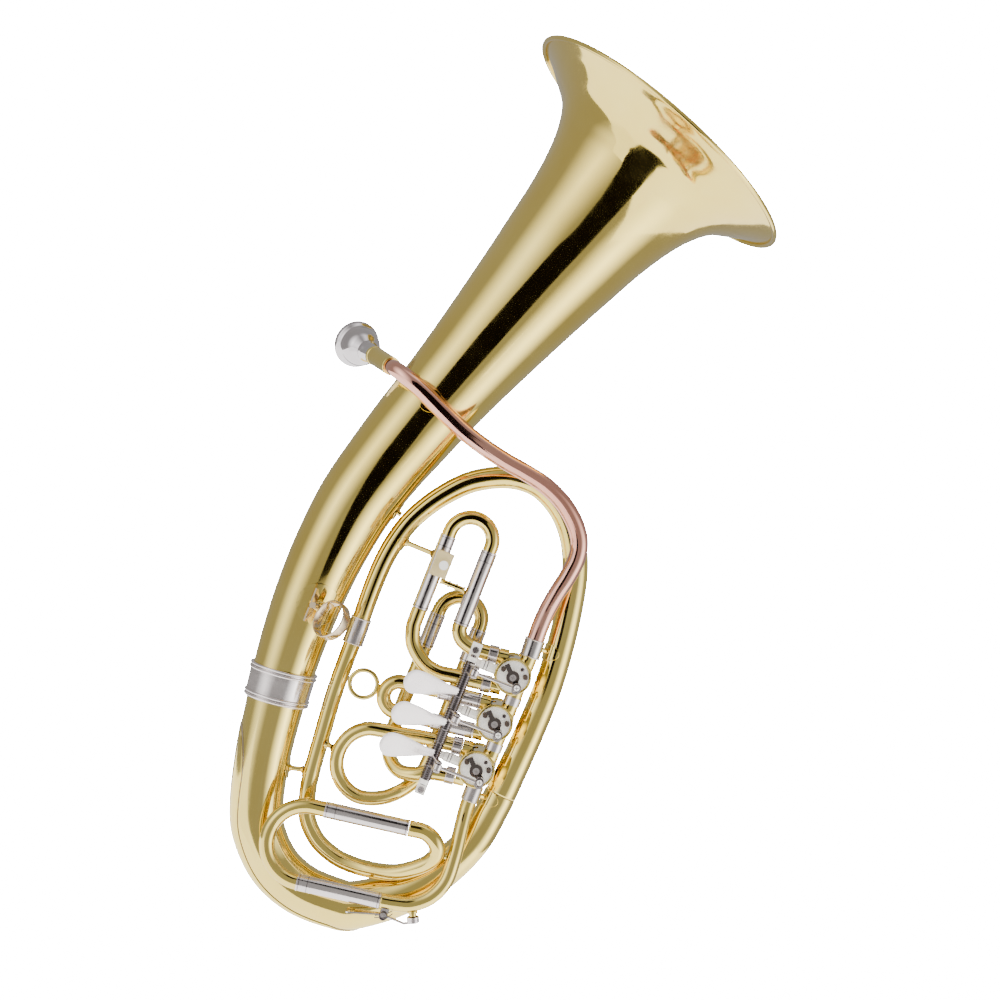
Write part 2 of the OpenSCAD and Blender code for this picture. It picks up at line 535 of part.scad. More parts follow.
// ---- Third valve slide with its long loop ----
slide_3_x = [75.5, 110.5];
slide_3_y = 9;
slide_3_low = 6;
slide_3_top = 34;
loop_centre = [70.5, valve_y, -93];
loop_r = 27.6;
slide_3_routes = [
    concat(
        [concat(port_at(3, 1, port_start), 5.8), [118, valve_y, -56.5, 5.8], [100, valve_y, -59.2, 5.8], [84, valve_y, -62.8, 5.8]],
        [for (a = [90 : 30 : 270]) concat(loop_centre + loop_r * [cos(a), 0, sin(a)], 5.8)],
        [[86, -8, -116.5, 5.8], [98, -2, -108, 5.8], [107, 4.5, -96, 5.8], [111, 8.5, -82, 5.8],
            [111, 9, -60, 5.8], [110.5, 9, -25, 5.8], [110.5, 9, 5.9, 5.8]]
    ),
    [[75.5, 9, 5.9, 5.8], [75.5, 9, -25, 5.8], [75.6, 9, -56, 5.8], [76.6, 8, -72, 5.8], [81.5, 3, -85.5, 5.8],
        [92, -5, -91.5, 5.8], [104.5, -11, -88.4, 5.8], [115, valve_y, -83, 5.8], concat(port_at(3, -1, port_start), 5.8)]
];
module slide_3_tubes() color(brass) placed() for (r = slide_3_routes) swept_tube(r, 0.6, 2, 12);
module slide_3_sleeves() color(nickel) placed() for (x = slide_3_x)
    outer_sleeve([x, slide_3_y, slide_3_top], [0, 0, -1], slide_3_top - slide_3_low);
slide_3_half = (slide_3_x[1] - slide_3_x[0]) / 2;
module slide_3_bow() color(brass) placed()
    translate([slide_3_x[0] + slide_3_half, slide_3_y, slide_3_top]) slide_bow(slide_3_half, 2, 25);

// ---- Thumb ring ----
module thumb_ring() color(brass) placed() along(ring_centre - ring_w / 2 * ring_tilt, ring_tilt) difference() {
    cylinder(r = ring_bore / 2 + 1.4, h = ring_w, $fn = 72);
    translate([0, 0, -1]) cylinder(r = ring_bore / 2, h = ring_w + 2, $fn = 72);
}
// The base is a round shell on the bell stem, which is a gentle cone there
stem_axis_x = -23.8;
stem_low = [-12, 26.75];
stem_high = [32, 28.6];
base_r = 16.5;
post_foot = [-13.4, -26, 8.8];
post_head = [-6.5, -35.2, 8.4];
module stem_cone(grow) translate([stem_axis_x, 0, stem_low[0]])
    cylinder(r1 = stem_low[1] + grow, r2 = stem_high[1] + grow, h = stem_high[0] - stem_low[0]);
module thumb_ring_base() color(brass) placed() difference() {
    union() {
        intersection() {
            translate([post_foot.x, 0, post_foot.z]) rotate([90, 0, 0]) cylinder(r = base_r, h = 40);
            stem_cone(1.3);
        }
        rod(post_foot, post_head, 3.4);
        along(post_foot, post_head - post_foot) rotate_extrude() for (z = [2, 5.4]) translate([3, z]) circle(r = 1.6);
    }
    stem_cone(0.25);
    along(ring_centre - ring_w * ring_tilt, ring_tilt) cylinder(r = ring_bore / 2 + 1.45, h = 2 * ring_w, $fn = 72);
    along(wing_at, wing_dir) cylinder(r = 1.6, h = 20);
}
// The wing screw clamps the ring's post; its wings stand along Z
wing_at = [-9.6, -31, 8.6];
wing_dir = unit([-0.55, -0.835, 0]);
module wing_screw() color(brass) placed() along(wing_at, wing_dir) {
    translate([0, 0, 1]) cylinder(r = 1.55, h = 6);
    translate([0, 0, 6.5]) cylinder(r = 3, h = 4.5);
    for (s = [-1, 1]) difference() {
        translate([s > 0 ? 2.4 : -13.4, -0.8, 8.2]) cube([11, 1.6, 5.8]);
        translate([s * 13.6, 0, 7]) rotate([90, 0, 0]) cylinder(r = 5, h = 4, center = true);
    }
}

// ---- Water key under the outlet tube ----
key_y = -28.6;
pivot_at = [121.8, key_y, -194.6];
nipple_at = [139.5, key_y, -179.3];
nipple_dir = unit([0.42, 0, -0.907]);
tube_there = unit([0.93, 0, 0.37]);
module water_key_nipple() color(brass) placed() difference() {
    union() {
        along(nipple_at, nipple_dir) cylinder(r = 3, h = 9.7);
        along(nipple_at + 5 * nipple_dir, nipple_dir) cylinder(r = 4, h = 2);
    }
    along(nipple_at, nipple_dir) translate([0, 0, -1]) cylinder(r = 1.6, h = 12);
    rod(nipple_at - 9 * tube_there, nipple_at + 9 * tube_there, 6.1);
}
module water_key_saddle() color(nickel) placed() difference() {
    union() {
        for (s = [-1, 1]) translate([pivot_at.x - 3, key_y + s * 4.2 - 0.6, pivot_at.z]) cube([6, 1.2, 9]);
        for (s = [-1, 1]) translate(pivot_at + [0, s * 4.2 - 0.6, 0]) rotate([-90, 0, 0]) cylinder(r = 3, h = 1.2);
        translate(pivot_at - [0, 6, 0]) rotate([-90, 0, 0]) cylinder(r = 1, h = 12);
    }
    rod([110, key_y, -187.6], [133, key_y, -181.9], 6.1);
}
tab_at = [94.2, key_y, -203];
module water_key_lever() color(nickel) placed() {
    cup = nipple_at + 12.7 * nipple_dir;
    elbow = cup + [-6, 0, -4.8];
    difference() {
        union() {
            translate(pivot_at - [0, 3.2, 0]) rotate([-90, 0, 0]) cylinder(r = 2.4, h = 6.4);
            rod(pivot_at + [1.4, 0, -0.8], elbow, 1.1);
            rod(elbow, cup + 1.8 * nipple_dir, 1.1);
            translate(elbow) sphere(r = 1.1);
            along(cup, nipple_dir) cylinder(r = 4.7, h = 1.2);
            translate([tab_at.x, key_y, tab_at.z]) rotate([0, -16, 0]) linear_extrude(1.2)
                polygon([[0, -4.6], [1.5, -5.4], [27, -2.2], [27, 2.2], [1.5, 5.4], [0, 4.6]]);
        }
        translate(pivot_at - [0, 4, 0]) rotate([-90, 0, 0]) cylinder(r = 1.05, h = 8);
    }
}
module water_key_cork() color(cork) placed()
    along(nipple_at + 10 * nipple_dir, nipple_dir) cylinder(r = 4.1, h = 2.7);

// ---- Stays between neighbouring tubes ----
// A rod from the skin of one tube to the skin of the next, with a flange at each end
module stay(p, rp, q, rq) {
    d = unit(q - p);
    a = p + (rp + 0.1) * d;
    b = q - (rq + 0.1) * d;
    rod(a, b, 2.1);
    if (norm(b - a) > 5) {
        along(a, d) cylinder(r1 = 3.5, r2 = 1.5, h = 2.6);
        along(b, -d) cylinder(r1 = 3.5, r2 = 1.5, h = 2.6);
    }
}
module stays() color(brass) placed() {
    stay([12, 0, 187.3], 36.5, [13.5, -51.4, 186.9], 7.2);
    stay([-13.6, 0, 105], 31.9, [28.4, 0, 94], 8.6);
    stay([23.7, 0, 77.5], 9.2, [61, valve_y, 77.5], 6.7);
    stay([26, 0, -93], 7.3, [42.9, valve_y, -93], 6.1);
    stay([-10, 0, -127], 21.8, [28.6, 0, -117.6], 7.2);
    stay([154.2, valve_y, 38], 8.1, [175.4, 0, 39], 11.6);
    stay([152, valve_y, -86], 7.15, [173.3, 0, -86], 13.1);
    stay([142.7, -26.4, -136.5], 6.5, [156.7, -22.8, -137], 6.1);
    stay([95, main_y, -188.9], 6.8, [95, 0, -205], 19.5);
    stay([61, valve_y, 60], 6.8, [95.5, valve_y, 60], 6.8);
    for (x = [74.5, 80.5]) rod([x, valve_y, 60], [x + 1.6, valve_y, 60], 3);
}

bell_flare();
bell_stem();
bell_ferrule();
bottom_bow();
bow_guard();
outer_branch();
tube_ferrules();
inner_branch();
main_slide_sleeves();
main_slide_bow();
outlet_tube();
leadpipe();
leadpipe_receiver();
mouthpiece();
valve_casings();
rotor(1);  // rotor_1
rotor(2);  // rotor_2
rotor(3);  // rotor_3
front_plates();
back_plates();
back_caps();
valve_bumpers();
stop_arm(1);  // stop_arm_1
stop_arm(2);  // stop_arm_2
stop_arm(3);  // stop_arm_3
stop_arm_screw(1);  // stop_arm_screw_1
stop_arm_screw(2);  // stop_arm_screw_2
stop_arm_screw(3);  // stop_arm_screw_3
link(1);  // link_1
link(2);  // link_2
link(3);  // link_3
lever(1);  // lever_1
lever(2);  // lever_2
lever(3);  // lever_3
hinge_rod();
lever_bracket();
lever_posts();
lever_springs();
bracket_screws();
valve_knuckles();
port_ferrules();
slide_1_tubes();
slide_1_sleeves();
slide_1_bow();
lyre_box();
lyre_screw();
slide_2_sleeves();
slide_2_bow();
slide_3_tubes();
slide_3_sleeves();
slide_3_bow();
thumb_ring();
thumb_ring_base();
wing_screw();
water_key_saddle();
water_key_lever();
water_key_cork();
water_key_nipple();
stays();
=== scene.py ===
import json
import math

import bmesh
import bpy
from mathutils import Matrix, Vector


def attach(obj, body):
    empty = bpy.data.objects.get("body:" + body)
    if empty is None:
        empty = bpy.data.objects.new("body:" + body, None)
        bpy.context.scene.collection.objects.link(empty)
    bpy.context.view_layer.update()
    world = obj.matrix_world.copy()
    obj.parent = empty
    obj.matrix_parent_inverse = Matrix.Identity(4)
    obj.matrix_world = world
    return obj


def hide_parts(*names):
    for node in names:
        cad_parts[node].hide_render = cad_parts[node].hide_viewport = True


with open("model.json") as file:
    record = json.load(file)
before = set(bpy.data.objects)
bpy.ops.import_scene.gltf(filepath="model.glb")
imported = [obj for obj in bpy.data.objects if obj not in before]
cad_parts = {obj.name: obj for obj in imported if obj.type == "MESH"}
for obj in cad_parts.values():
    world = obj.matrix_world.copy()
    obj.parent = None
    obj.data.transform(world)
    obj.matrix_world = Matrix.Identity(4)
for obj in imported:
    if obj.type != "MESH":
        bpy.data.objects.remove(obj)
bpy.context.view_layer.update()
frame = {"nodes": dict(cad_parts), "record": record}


NODES = frame["nodes"]


# ---- Geometry helpers -------------------------------------------------------
# Routes, outlines and places are in millimetres of the drawing, as in the part's source
ORIGIN = (2.5, -45, 3.5)  # the thumb ring's centre in the drawing, where the row frame has its origin
ROUNDING = 0.3  # millimetres taken off a tube's end edges at most


def at(p):
    """A point of the drawing as a place in the row frame, in metres."""
    return Vector([(c - o) / 1000 for c, o in zip(p, ORIGIN)])


def between(a, b, c, d, t):
    """The point a share t of the way from b to c, on the smooth curve through all four."""
    return [
        q + (r - p) * t / 2 + (2 * p - 5 * q + 4 * r - s) * t * t / 2 + (3 * q - p - 3 * r + s) * t**3 / 2
        for p, q, r, s in zip(a, b, c, d)
    ]


def smooth(points, steps):
    """A finer route through the same points, with steps stretches between each two."""
    before = [2 * a - b for a, b in zip(points[0], points[1])]
    after = [2 * a - b for a, b in zip(points[-1], points[-2])]
    e = [before, *points, after]
    out = []
    for i in range(1, len(points)):
        out += [between(e[i - 1], e[i], e[i + 1], e[i + 2], k / steps) for k in range(steps)]
    return [*out, list(points[-1])]


def circle(sides):
    return [2 * math.pi * k / sides for k in range(sides)]


def arc(centre, across, up, start, end, step):
    """Profile points on an ellipse round centre, at every step degrees from start up to end."""
    angles = [math.radians(a) for a in range(start, end, step)]
    return [(centre[0] + across * math.cos(a), centre[1] + up * math.sin(a)) for a in angles]


def walls(rows, width, closed=False):
    """The faces between neighbouring rings of width points; a closed one ends where it began."""
    faces = []
    for i in range(rows if closed else rows - 1):
        j = (i + 1) % rows
        for k in range(width):
            n = (k + 1) % width
            faces.append((i * width + k, i * width + n, j * width + n, j * width + k))
    return faces


def capped(rows, width):
    """The same faces, with both ends closed."""
    last = (rows - 1) * width
    return [*walls(rows, width), tuple(range(width - 1, -1, -1)), tuple(last + k for k in range(width))]


def finish_mesh(name, verts, faces, sharp=35):
    """An object of these faces, smooth except at edges that turn by more than sharp degrees."""
    mesh = bpy.data.meshes.new(name)
    mesh.from_pydata([tuple(v) for v in verts], [], faces)
    bm = bmesh.new()
    bm.from_mesh(mesh)
    bmesh.ops.remove_doubles(bm, verts=bm.verts, dist=1e-7)
    bmesh.ops.recalc_face_normals(bm, faces=bm.faces)
    bm.to_mesh(mesh)
    bm.free()
    mesh.shade_smooth()
    mesh.set_sharp_from_angle(angle=math.radians(sharp))
    obj = bpy.data.objects.new(name, mesh)
    bpy.context.scene.collection.objects.link(obj)
    return obj


def frames(points):
    """Centre, direction, two cross directions and radius along a route, in metres."""
    places = [at(p) for p in points]
    out = []
    for i, p in enumerate(places):
        t = (places[min(i + 1, len(places) - 1)] - places[max(i - 1, 0)]).normalized()
        u = t.cross(Vector((0, 1, 0))).normalized()
        out.append((p, t, u, u.cross(t), points[i][3] / 1000 if len(points[i]) > 3 else 0))
    return out


def tube(name, points, wall, sides=56):
    """A hollow tube through points [x, y, z, outer radius] with slightly rounded ends."""
    soft = min(wall * 0.3, ROUNDING) / 1000
    wall /= 1000
    route = frames(points)
    start, end = route[0], route[-1]
    # Each ring is a place on the route, a radius and a push along the route
    rings = [(start, start[4] - soft, 0), (start, start[4], soft)]
    rings += [(f, f[4], 0) for f in route[1:-1]]
    rings += [(end, end[4], -soft), (end, end[4] - soft, 0)]
    rings += [(end, end[4] - wall + soft, 0), (end, end[4] - wall, -soft)]
    rings += [(f, f[4] - wall, 0) for f in reversed(route[1:-1])]
    rings += [(start, start[4] - wall, soft), (start, start[4] - wall + soft, 0)]
    verts = []
    for (p, t, u, v, _), r, push in rings:
        verts += [p + t * push + r * (u * math.cos(a) + v * math.sin(a)) for a in circle(sides)]
    return finish_mesh(name, verts, walls(len(rings), sides, closed=True), 50)


def turned(name, profile, spot, direction, sides=64, closed=True):
    """A lathe piece: profile of [radius, height] in millimetres round direction from spot."""
    d = Vector(direction).normalized()
    u = d.cross(Vector((0, 1, 0)))
    u = (u if u.length > 0.1 else d.cross(Vector((1, 0, 0)))).normalized()
    v = d.cross(u)
    verts = []
    for r, h in profile:
        centre = at(spot) + d * h / 1000
        verts += [centre + (u * math.cos(a) + v * math.sin(a)) * max(r, 1e-5) / 1000 for a in circle(sides)]
    return finish_mesh(name, verts, walls(len(profile), sides, closed))


def place(obj, body, material, slot, *replaced):
    """Gives a piece its finish and its body, and hides the CAD nodes that it stands for."""
    obj.data.materials.append(material)
    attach(obj, body)
    if replaced:
        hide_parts(*replaced)
    return obj


# ---- Materials --------------------------------------------------------------
# Distances inside a material are in metres, on each piece's own coordinates
MIX_SHARE, MIX_A, MIX_B, MIX_RESULT = 0, 6, 7, 2  # a colour Mix node's sockets
NOISE_LOW, NOISE_HIGH = 0.36, 0.66  # the range in which most of a noise lies


def metal(name, light, deep, rough, marks=0.25, coat=0.0, shine=1.0):
    """A polished metal: uneven colour, hazy patches, hairline scratches and a little orange peel."""
    mat = bpy.data.materials.new(name)
    mat.use_nodes = True
    nt = mat.node_tree
    nt.nodes.clear()

    def node(kind, **values):
        n = nt.nodes.new(kind)
        for key, value in values.items():
            if key in n.inputs:
                n.inputs[key].default_value = value
            else:
                setattr(n, key, value)
        return n

    def link(a, out, b, socket):
        nt.links.new(a.outputs[out], b.inputs[socket])

    def remap(source, out, low, high, to_low, to_high):
        n = node("ShaderNodeMapRange")
        for key, value in zip((1, 2, 3, 4), (low, high, to_low, to_high)):
            n.inputs[key].default_value = value
        link(source, out, n, 0)
        return n

    def maths(operation, a, b):
        n = node("ShaderNodeMath", operation=operation)
        for i, value in enumerate((a, b)):
            if isinstance(value, (int, float)):
                n.inputs[i].default_value = value
            else:
                nt.links.new(value.outputs[0], n.inputs[i])
        return n

    shader = node("ShaderNodeBsdfPrincipled", Metallic=shine)
    shader.inputs["Coat Weight"].default_value = coat
    shader.inputs["Coat Roughness"].default_value = 0.04
    out = node("ShaderNodeOutputMaterial")
    link(shader, 0, out, 0)
    coords = node("ShaderNodeTexCoord")

    patches = node("ShaderNodeTexNoise", Scale=11.0, Detail=4.0, Roughness=0.6)
    link(coords, "Object", patches, "Vector")
    shift = remap(patches, 0, NOISE_LOW, NOISE_HIGH, 0.0, 1.0)
    colour = node("ShaderNodeMix", data_type="RGBA")
    colour.inputs[MIX_A].default_value = (*deep, 1)
    colour.inputs[MIX_B].default_value = (*light, 1)
    link(shift, 0, colour, MIX_SHARE)

    haze = node("ShaderNodeTexNoise", Scale=55.0, Detail=5.0, Roughness=0.65)
    link(coords, "Object", haze, "Vector")
    rough_map = remap(haze, 0, 0.35, 0.7, rough * 0.7, rough * 1.6)

    hairs = []
    for scale, twist in (((1500, 1500, 40), 0.3), ((60, 1300, 1300), 1.1)):
        spread = node("ShaderNodeMapping")
        spread.inputs["Scale"].default_value = scale
        spread.inputs["Rotation"].default_value = (twist, twist * 0.7, twist * 1.9)
        link(coords, "Object", spread, "Vector")
        lines = node("ShaderNodeTexNoise", Scale=1.0, Detail=2.0)
        link(spread, 0, lines, "Vector")
        hairs.append(remap(lines, 0, 0.66, 0.76, 0.0, 1.0))
    scratch = maths("MAXIMUM", *hairs)
    peel = node("ShaderNodeTexNoise", Scale=420.0, Detail=2.0)
    link(coords, "Object", peel, "Vector")
    height = maths("ADD", maths("MULTIPLY", scratch, -marks), maths("MULTIPLY", peel, 0.35))
    bump = node("ShaderNodeBump", Strength=0.10)
    bump.inputs["Distance"].default_value = 0.0002
    link(height, 0, bump, "Height")
    link(bump, 0, shader, "Normal")
    link(maths("ADD", rough_map, maths("MULTIPLY", scratch, marks * 0.2)), 0, shader, "Roughness")

    # Convex edges (high pointiness) turn lighter and hollows (low pointiness) turn darker
    shape = node("ShaderNodeNewGeometry")
    edge = remap(shape, "Pointiness", 0.52, 0.60, 0.0, 0.5)
    nook = remap(shape, "Pointiness", 0.48, 0.40, 0.0, 0.6)
    lighter_edges = node("ShaderNodeMix", data_type="RGBA")
    link(edge, 0, lighter_edges, MIX_SHARE)
    link(colour, MIX_RESULT, lighter_edges, MIX_A)
    lighter_edges.inputs[MIX_B].default_value = (*[min(1, c * 1.08) for c in light], 1)
    darker_hollows = node("ShaderNodeMix", data_type="RGBA")
    link(nook, 0, darker_hollows, MIX_SHARE)
    link(lighter_edges, MIX_RESULT, darker_hollows, MIX_A)
    darker_hollows.inputs[MIX_B].default_value = (*[c * 0.45 for c in deep], 1)
    link(darker_hollows, MIX_RESULT, shader, "Base Color")
    return mat


def soft_stuff(name, colour, dark, rough, scale):
    """Cork or rubber: grains of two colours, matt and slightly pitted."""
    mat = bpy.data.materials.new(name)
    mat.use_nodes = True
    nt = mat.node_tree
    shader = nt.nodes["Principled BSDF"]
    coords = nt.nodes.new("ShaderNodeTexCoord")
    grain = nt.nodes.new("ShaderNodeTexVoronoi")
    grain.inputs["Scale"].default_value = scale
    ramp = nt.nodes.new("ShaderNodeValToRGB")
    ramp.color_ramp.elements[0].color = (*dark, 1)
    ramp.color_ramp.elements[1].color = (*colour, 1)
    bump = nt.nodes.new("ShaderNodeBump")
    bump.inputs["Strength"].default_value = 0.4
    bump.inputs["Distance"].default_value = 0.0003
    nt.links.new(coords.outputs["Object"], grain.inputs["Vector"])
    nt.links.new(grain.outputs["Distance"], ramp.inputs[0])
    nt.links.new(ramp.outputs[0], shader.inputs["Base Color"])
    nt.links.new(grain.outputs["Distance"], bump.inputs["Height"])
    nt.links.new(bump.outputs[0], shader.inputs["Normal"])
    shader.inputs["Roughness"].default_value = rough
    return mat


BRASS = metal("lacquered_brass", (0.94, 0.735, 0.20), (0.89, 0.67, 0.155), 0.08, 0.1, 0.25)
ROSE = metal("rose_brass", (0.88, 0.47, 0.36), (0.80, 0.37, 0.27), 0.1, 0.2, 0.25)
NICKEL = metal("nickel_silver", (0.86, 0.79, 0.775), (0.76, 0.69, 0.675), 0.16, 0.3)
PALE = metal("paddle_nickel", (1.0, 0.93, 0.91), (0.97, 0.89, 0.87), 0.22, 0.4, 0.0, 0.3)
SATIN = metal("satin_nickel", (0.98, 0.93, 0.86), (0.94, 0.87, 0.78), 0.26, 0.5, 0.0, 0.15)
AGED = metal("aged_brass", (0.72, 0.58, 0.38), (0.58, 0.44, 0.27), 0.12, 0.4)
DARK = metal("dark_nickel", (0.20, 0.175, 0.175), (0.10, 0.085, 0.09), 0.14, 0.4)
SATIN_BRASS = metal("satin_brass", (0.90, 0.74, 0.38), (0.82, 0.62, 0.26), 0.30, 0.4, 0.0, 0.5)
SILVER = metal("silver_plate", (0.80, 0.76, 0.77), (0.62, 0.57, 0.58), 0.06, 0.2)
STEEL = metal("dark_steel", (0.20, 0.17, 0.16), (0.10, 0.085, 0.08), 0.16, 0.5)
CORK = soft_stuff("cork", (0.07, 0.045, 0.03), (0.025, 0.017, 0.012), 0.85, 700)

KEPT = {
    "lacquered_brass": BRASS,
    "rose_brass": ROSE,
    "nickel_silver": NICKEL,
    "paddle_nickel": PALE,
    "silver_plate": SILVER,
    "dark_steel": STEEL,
    "cork": CORK,
}
for part in frame["record"]["subparts"]:
    cad = NODES[part["node"]]
    cad.data.materials.clear()
    cad.data.materials.append(KEPT[part["material_slot"]])

OWN_FINISH = {
    "front_plates": SATIN, "lever_posts": SATIN, "lever_bracket": SATIN, "lyre_screw": SATIN,
    "lyre_box": SATIN_BRASS, "wing_screw": AGED, "hinge_rod": DARK, "lever_springs": DARK,
}
for name, finish in OWN_FINISH.items():
    NODES[name].data.materials[0] = finish

# ---- Large tubes ------------------------------------------------------------
# FLARE is [distance below the rim, outer radius]; a route's points are [x, y, z, outer radius]
LEAN = math.radians(19.3)
RIM = (102.2, 0, 444.4)
BELL = (math.sin(LEAN), 0, math.cos(LEAN))
FLARE = [
    (0, 119), (3, 114), (8, 104.5), (16, 92.5), (24, 81.5), (32, 75), (40, 70.6), (48, 67), (60, 63),
    (75, 59.2), (95, 55.4), (120, 52), (142, 49), (166, 46), (190, 43.2), (213, 40.7), (237, 38.3),
    (265, 36.1),
]
STEM = [
    (3.5, 0, 162, 34.6), (-7.5, 0, 128, 32.6), (-17, 0, 92, 31), (-22.2, 0, 52, 29.3),
    (-24, 0, 14, 27.7), (-23.5, 0, -18, 26.2), (-21.6, 0, -49, 24.7), (-20, 0, -62.5, 24),
]
BOW = [
    (-19.95, 0, -63, 23.6), (-18.4, 0, -77, 23.1), (-12.2, 0, -118, 21.6), (-3.2, 0, -155, 20.8),
    (7, 0, -177, 20.4), (28, 0, -197.5, 20.1), (54, 0, -207.5, 19.7), (82.5, 0, -208, 19.3),
    (99, 0, -203.8, 18.8), (128.6, 0, -182, 17.3), (152, 0, -153, 15.6), (167, 0, -122, 14),
    (172.9, 0, -90, 12.8), (173.8, 0, -80, 12.5),
]
BRANCH = [
    (173.85, 0, -79.6, 12.5), (174.8, 0, -68, 12.2), (177.2, 0, -24, 11.7), (177.6, 0, 14, 11.3),
    (174.4, 0, 51, 11), (169.4, 0, 83, 10.7), (163.7, 0, 106, 10.4), (156.6, 0, 122, 10.2),
    (146.8, 0, 136, 10), (133.2, 0, 148, 9.7), (114.8, 0, 156.5, 9.4), (97, 0, 157, 9.2),
    (80.3, 0, 151.8, 9), (63, 0, 141.5, 8.8), (50.3, 0, 129, 8.6), (38, 0, 112.5, 8.3),
    (28.4, 0, 94, 8.1), (23, 0, 75, 8), (20.4, 0, 56, 7.8), (19.9, 0, 34, 7.6), (20.7, 0, 9, 7.3),
    (21, 0, -1, 7.2),
]
INNER = [
    (21.02, 0, -1.6, 6.9), (21.2, 0, -14, 6.9), (22.2, 0, -52, 6.8), (25.3, 0, -86, 6.8),
    (28.6, 0, -118, 6.8), (31.6, 0, -135, 6.8), (38, 0, -152.5, 6.8), (49.5, 0, -165, 6.7),
    (62, 0, -171.5, 6.7), (77, -1, -174.6, 6.7), (96.6, -6, -172.5, 6.6), (117, -16, -165, 6.5),
    (131, -21, -155, 6.5), (140, -24, -145, 6.4), (142.6, -26.5, -135.5, 6.4),
    (138.2, -28.6, -128.2, 6.4), (128.5, -29, -124, 6.4), (115.62, -29, -125.67, 6.4),
]
LEAD = [
    (-26, -38, 200.5, 6.2), (-20.4, -47, 199.1, 6.3), (-9.5, -51.8, 195.8, 6.5), (3, -52.4, 191.4, 6.7),
    (27, -49.8, 181, 6.8), (44, -47, 174.2, 6.8), (62, -43.8, 169, 6.8), (81, -39.7, 165, 6.8),
    (98, -36, 162.7, 6.8), (116, -32, 159.2, 6.9), (131.8, -28.5, 152.8, 6.9), (143.4, -26, 145, 7),
    (152.4, -24, 136, 7), (158.2, -22.5, 126, 7), (160.4, -21, 114, 7), (159, -19.5, 99, 7),
    (156.2, -17.5, 84, 7), (154.3, -15, 69, 7), (153.8, -13, 56, 7), (154.2, -12, 44, 7),
    (154.7, -12, 30.8, 7),
]
SLOPE = math.radians(8.8)
MOUTH = Vector((50.2, -29, -135.8))
MAIN = Vector((-math.cos(SLOPE), 0, -math.sin(SLOPE)))
MAIN_UP = Vector((-math.sin(SLOPE), 0, math.cos(SLOPE)))
LOW = MOUTH - 59.5 * MAIN_UP + 9 * MAIN
OUTLET = [
    (*(LOW - 66.2 * MAIN), 6), (127, -29, -183.5, 6), (139.5, -28.6, -179.3, 6), (151, -27.4, -169, 6),
    (157.2, -25.5, -154, 6), (156.6, -22.5, -134.5, 6), (153.8, -17, -113, 6), (152.2, -12.8, -99, 6),
    (152, -12, -88, 6), (152, -12, -80.8, 6),
]


def pipe(name, route, steps, wall, sides, replaced, finish=BRASS, slot="lacquered_brass"):
    """A tube of the horn's fixed body, which stands for a CAD node."""
    place(tube(name, smooth(route, steps), wall, sides), "horn", finish, slot, replaced)


flare = smooth([(*(Vector(RIM) - s * Vector(BELL)), r) for s, r in FLARE], 8)
stem = smooth([flare[-9], flare[-1], *STEM], 10)[11:]
bell = tube("bell_body", [*flare, *stem], 0.8, 128)
place(bell, "horn", BRASS, "lacquered_brass", "bell_flare", "bell_stem")
bead = turned("bell_rim_bead", arc((118.5, -2), 2, 2, 0, 360, 18), RIM, BELL, 160)
place(bead, "horn", BRASS, "lacquered_brass")
pipe("bottom_bow_tube", BOW, 9, 0.8, 72, "bottom_bow")
pipe("outer_branch_tube", BRANCH, 6, 0.7, 56, "outer_branch")
pipe("inner_branch_tube", INNER, 7, 0.6, 48, "inner_branch")
pipe("leadpipe_tube", LEAD, 7, 0.6, 48, "leadpipe", ROSE, "rose_brass")
pipe("outlet_bend_tube", OUTLET, 8, 0.6, 48, "outlet_tube")

# ---- Valve slide tubes ------------------------------------------------------
VALVE_Y = -12
PORT_SLOPE = math.radians(8)
PORT_START = 14.2
PORT = Vector((-math.cos(PORT_SLOPE), 0, -math.sin(PORT_SLOPE)))
PORT_UP = Vector((-math.sin(PORT_SLOPE), 0, math.cos(PORT_SLOPE)))


def valve(i):
    """The centre of valve 1, 2 or 3."""
    return Vector((147.5, VALVE_Y, 12.5 - (i - 1) * 38.5))


def port(i, side, t):
    """The place t millimetres out on the axis of a valve's upper (1) or lower (-1) port."""
    return valve(i) + side * 12 * PORT_UP + t * PORT


SLIDE_1A = [
    (*port(1, 1, PORT_START), 6.1), (121, -12, 20.9, 6.1), (110, -12, 20.4, 6.1),
    (101.5, -12, 22.8, 6.1), (97.2, -12, 27, 6.1), (95.6, -12, 31, 6.1), (95.5, -12, 33.7, 6.1),
]
SLIDE_1B = [
    (*port(1, -1, PORT_START), 6.1), (122, -12, -3.2, 6.1), (105, -12, -5.6, 6.1), (92, -12, -7.4, 6.1),
    (79.5, -12, -4.6, 6.1), (67, -12, 5.4, 6.1), (61.8, -12, 17.5, 6.1), (61, -12, 26, 6.1),
    (61, -12, 33.7, 6.1),
]
LOOP = [(70.5 + 27.6 * math.cos(math.radians(a)), -12, -93 + 27.6 * math.sin(math.radians(a)), 5.8)
        for a in range(90, 271, 30)]
SLIDE_3A = [
    (*port(3, 1, PORT_START), 5.8), (118, -12, -56.5, 5.8), (100, -12, -59.2, 5.8),
    (84, -12, -62.8, 5.8), *LOOP, (86, -8, -116.5, 5.8), (98, -2, -108, 5.8), (107, 4.5, -96, 5.8),
    (111, 8.5, -82, 5.8), (111, 9, -60, 5.8), (110.5, 9, -25, 5.8), (110.5, 9, 5.9, 5.8),
]
SLIDE_3B = [
    (75.5, 9, 5.9, 5.8), (75.5, 9, -25, 5.8), (75.6, 9, -56, 5.8), (76.6, 8, -72, 5.8),
    (81.5, 3, -85.5, 5.8), (92, -5, -91.5, 5.8), (104.5, -11, -88.4, 5.8), (115, -12, -83, 5.8),
    (*port(3, -1, PORT_START), 5.8),
]
pipe("slide_1_upper_tube", SLIDE_1A, 8, 0.6, 44, "slide_1_tubes")
pipe("slide_1_lower_tube", SLIDE_1B, 8, 0.6, 44, "slide_1_tubes")
